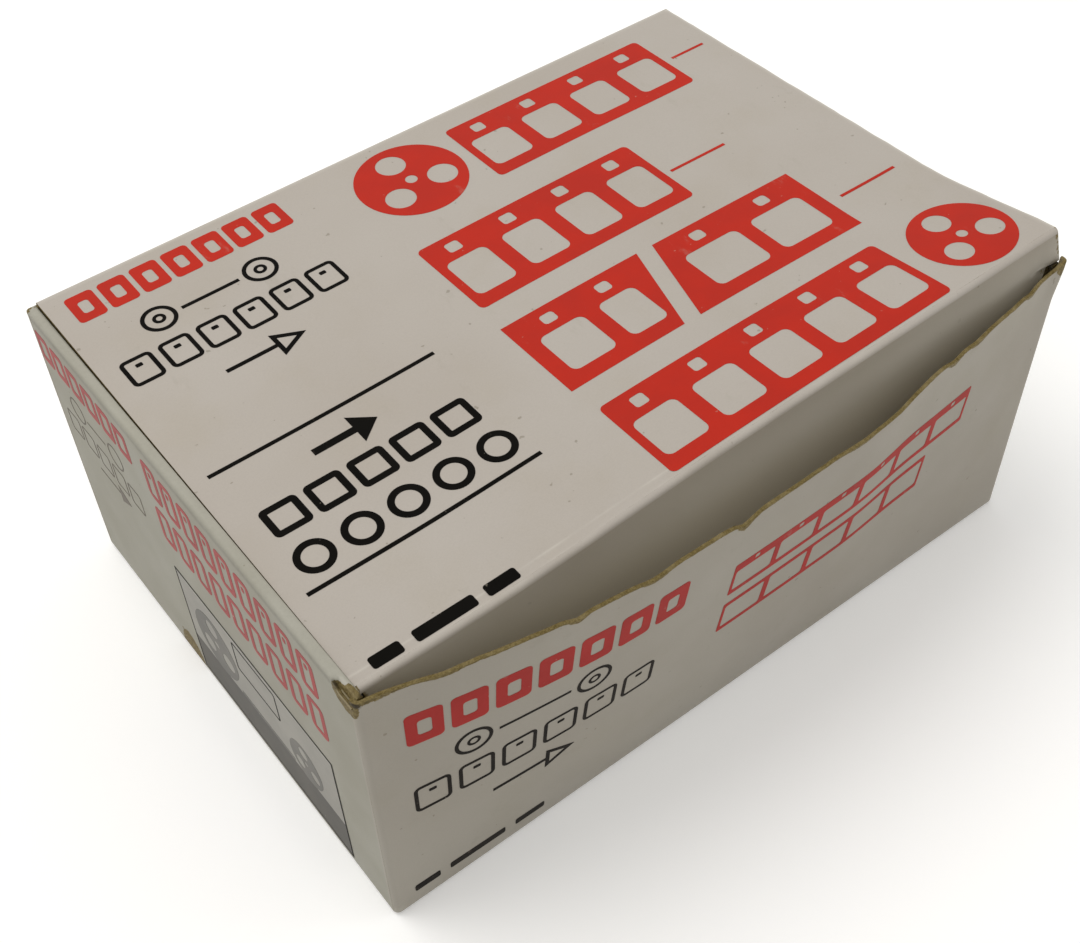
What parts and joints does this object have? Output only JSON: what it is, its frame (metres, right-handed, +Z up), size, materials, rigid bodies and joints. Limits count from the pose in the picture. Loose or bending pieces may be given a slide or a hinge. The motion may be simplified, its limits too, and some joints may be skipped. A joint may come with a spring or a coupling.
{
  "type": "boxed film splicer",
  "caption": "Worn folded-board carton with hinged tuck-in lid, holding a motor-driven splicer for narrow cine film with clamps, trimming knife and sliding grinding carriage.",
  "frame": {"origin": "centre of the base panel's underside, on the surface the carton stands on", "axes": "+X along the carton's long side, -Y out of the front wall, +Z up"},
  "size_m": [0.205, 0.1614, 0.0975],
  "materials": {
    "printed_board": "matt white-lined board with worn edges",
    "plain_board": "uncoated grey-brown board",
    "insert_card": "uncoated folded card",
    "housing_plastic": "fine-textured moulded plastic",
    "dark_plastic": "fine-textured moulded plastic",
    "deck_metal": "brushed and anodised",
    "polished_steel": "polished",
    "blued_steel": "ground",
    "screw_steel": "plated",
    "rubber": "matt",
    "abrasive": "diamond-grit coated",
    "brass": "turned",
    "cell_jacket": "lacquered",
    "red_plastic": "moulded"
  },
  "bodies": {
    "carton": {"base_panel": "plain_board", "front_wall": "printed_board", "back_wall": "printed_board", "end_outer_left": "printed_board", "end_outer_right": "printed_board", "roll_strip_left": "printed_board", "roll_strip_right": "printed_board", "end_inner_left": "plain_board", "end_inner_right": "plain_board", "corner_tabs": "plain_board", "insert_back": "insert_card", "insert_front": "insert_card", "insert_left": "insert_card", "insert_right": "insert_card", "base_housing": "housing_plastic", "bottom_cover": "dark_plastic", "cover_screws": "screw_steel", "rubber_feet": "rubber", "battery_door": "dark_plastic", "battery_cells": "cell_jacket", "battery_contacts": "screw_steel", "switch_block": "dark_plastic", "deck_plate": "deck_metal", "film_rail_right": "polished_steel", "film_rail_left": "polished_steel", "clamp_bracket_right": "deck_metal", "clamp_bracket_left": "deck_metal", "clamp_pin_right": "polished_steel", "clamp_pin_left": "polished_steel", "knife_table": "polished_steel", "lower_blade": "blued_steel", "knife_bracket": "deck_metal", "knife_pin": "polished_steel", "bar_blocks": "deck_metal", "slide_bars": "polished_steel"},
    "lid": {"lid_panel": "printed_board"},
    "tuck_flap": {"tuck_flap": "printed_board"},
    "clamp_left": {"clamp_arm_left": "housing_plastic", "pressure_pad_left": "rubber"},
    "clamp_right": {"clamp_arm_right": "housing_plastic", "pressure_pad_right": "rubber"},
    "knife": {"knife_lever": "dark_plastic", "upper_blade": "blued_steel"},
    "carriage": {"carriage_base": "dark_plastic", "carriage_housing": "housing_plastic", "motor": "polished_steel", "drive_belt": "rubber", "shaft_bushes": "brass", "grip_knob": "dark_plastic"},
    "grinder": {"grinding_wheel": "abrasive", "wheel_shaft": "polished_steel", "wheel_pulley": "brass"},
    "motor_rotor": {"motor_pulley": "brass"},
    "depth_knob": {"depth_knob": "dark_plastic"},
    "power_button": {"power_button": "red_plastic"}
  },
  "joints": [
    {"name": "lid_hinge", "type": "hinge", "parent": "carton", "child": "lid", "pos_m": [0.00215, 0.0735, 0.0901], "axis": [-0.9999, 0, -0.011], "range_deg": [0, 180]},
    {"name": "tuck_flap_fold", "type": "hinge", "parent": "lid", "child": "tuck_flap", "pos_m": [0.00212, -0.07001, 0.09018], "axis": [0.9986, 0, 0.0523], "range_deg": [0, 80]},
    {"name": "clamp_left_hinge", "type": "hinge", "parent": "carton", "child": "clamp_left", "pos_m": [-0.038, 0.006, 0.0379], "axis": [-1, 0, 0], "range_deg": [0, 50]},
    {"name": "clamp_right_hinge", "type": "hinge", "parent": "carton", "child": "clamp_right", "pos_m": [0.038, 0.006, 0.0379], "axis": [-1, 0, 0], "range_deg": [0, 50]},
    {"name": "knife_hinge", "type": "hinge", "parent": "carton", "child": "knife", "pos_m": [0.07675, 0.006, 0.0379], "axis": [-1, 0, 0], "range_deg": [0, 45]},
    {"name": "carriage_slide", "type": "slide", "parent": "carton", "child": "carriage", "axis": [0, -1, 0], "range_m": [0, 0.024]},
    {"name": "grinder_spin", "type": "hinge", "parent": "carriage", "child": "grinder", "pos_m": [0, -0.004, 0.04545], "axis": [1, 0, 0], "continuous": true},
    {"name": "motor_spin", "type": "hinge", "parent": "carriage", "child": "motor_rotor", "pos_m": [0.0061, 0.033, 0.0513], "axis": [1, 0, 0], "continuous": true},
    {"name": "depth_knob_turn", "type": "hinge", "parent": "carton", "child": "depth_knob", "pos_m": [-0.07, 0.014, 0.0319], "axis": [0, 0, 1], "range_deg": [-135, 135]},
    {"name": "power_button_press", "type": "slide", "parent": "carton", "child": "power_button", "axis": [0, 0, -1], "range_m": [0, 0.002], "stiffness_N_per_m": 150}
  ],
  "couplings": [
    {"joint": "motor_spin", "follows": "grinder_spin", "ratio": 1.6667}
  ]
}
